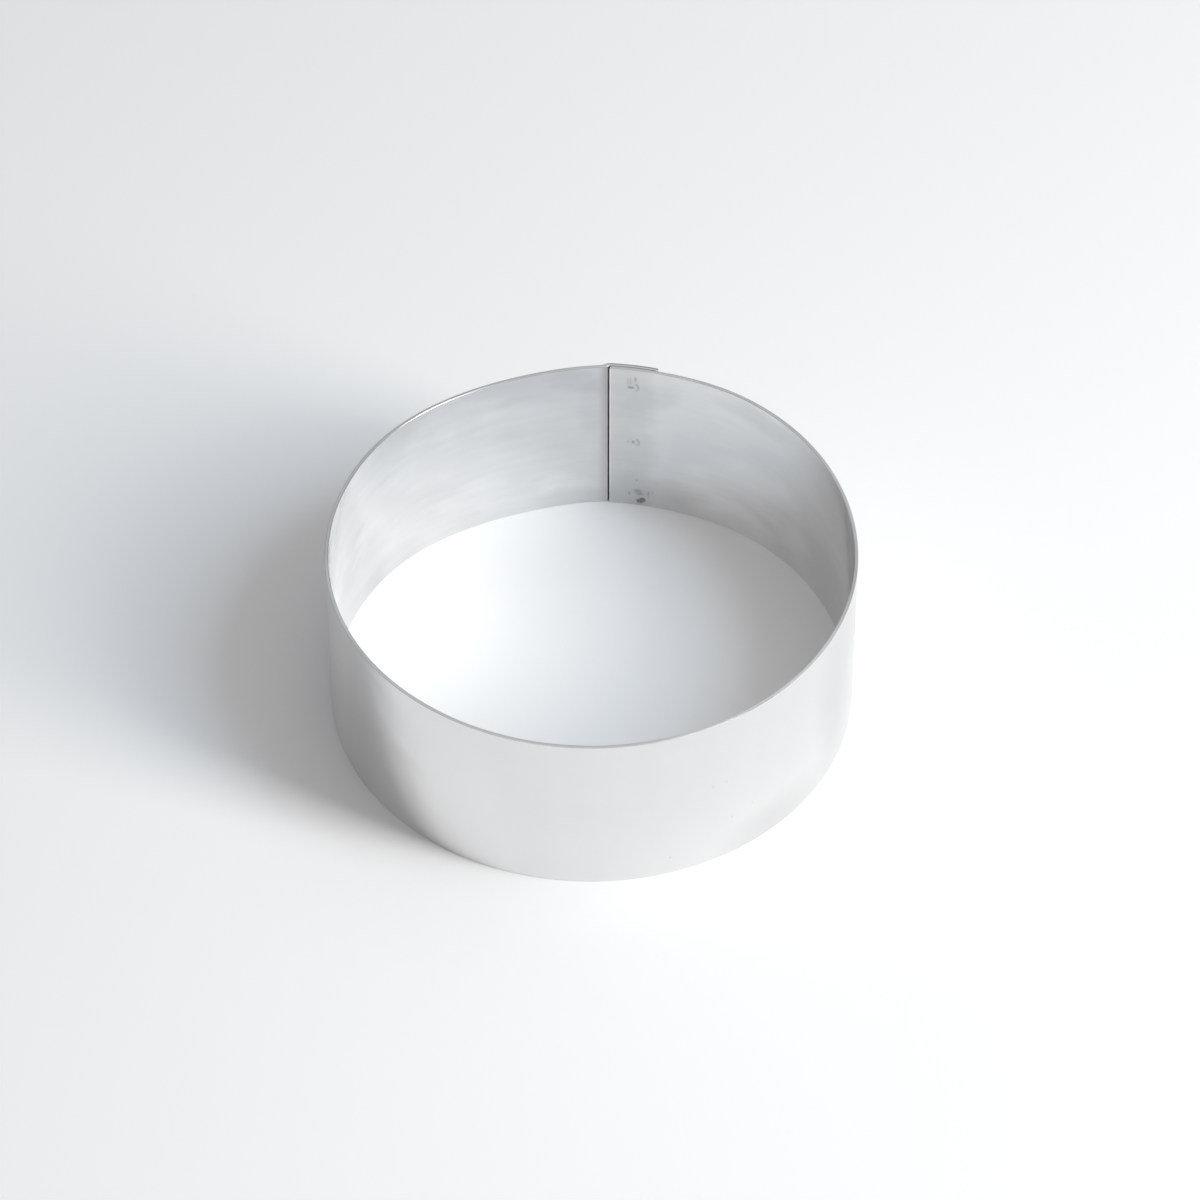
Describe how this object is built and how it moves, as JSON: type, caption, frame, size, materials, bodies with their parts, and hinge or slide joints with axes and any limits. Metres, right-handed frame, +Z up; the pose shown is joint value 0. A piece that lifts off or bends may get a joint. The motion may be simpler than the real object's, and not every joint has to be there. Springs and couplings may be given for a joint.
{
  "type": "mousse ring",
  "caption": "Bottomless round mould of satin stainless sheet, a rolled strip with its ends lapped and spot-welded, for shaping mousse cakes and pastry.",
  "frame": {"origin": "centre of the bore on the plane that the ring stands on", "axes": "+Z up along the ring's axis, +Y out through the middle of the lapped seam"},
  "size_m": [0.1216, 0.1225, 0.045],
  "materials": {
    "satin_steel": "satin stainless sheet with a faint grain running round the band",
    "fused_steel": "dull resolidified weld metal"
  },
  "bodies": {
    "root": {"ring_band": "satin_steel", "weld_nugget_1": "fused_steel", "weld_nugget_2": "fused_steel", "weld_nugget_3": "fused_steel"}
  },
  "joints": []
}
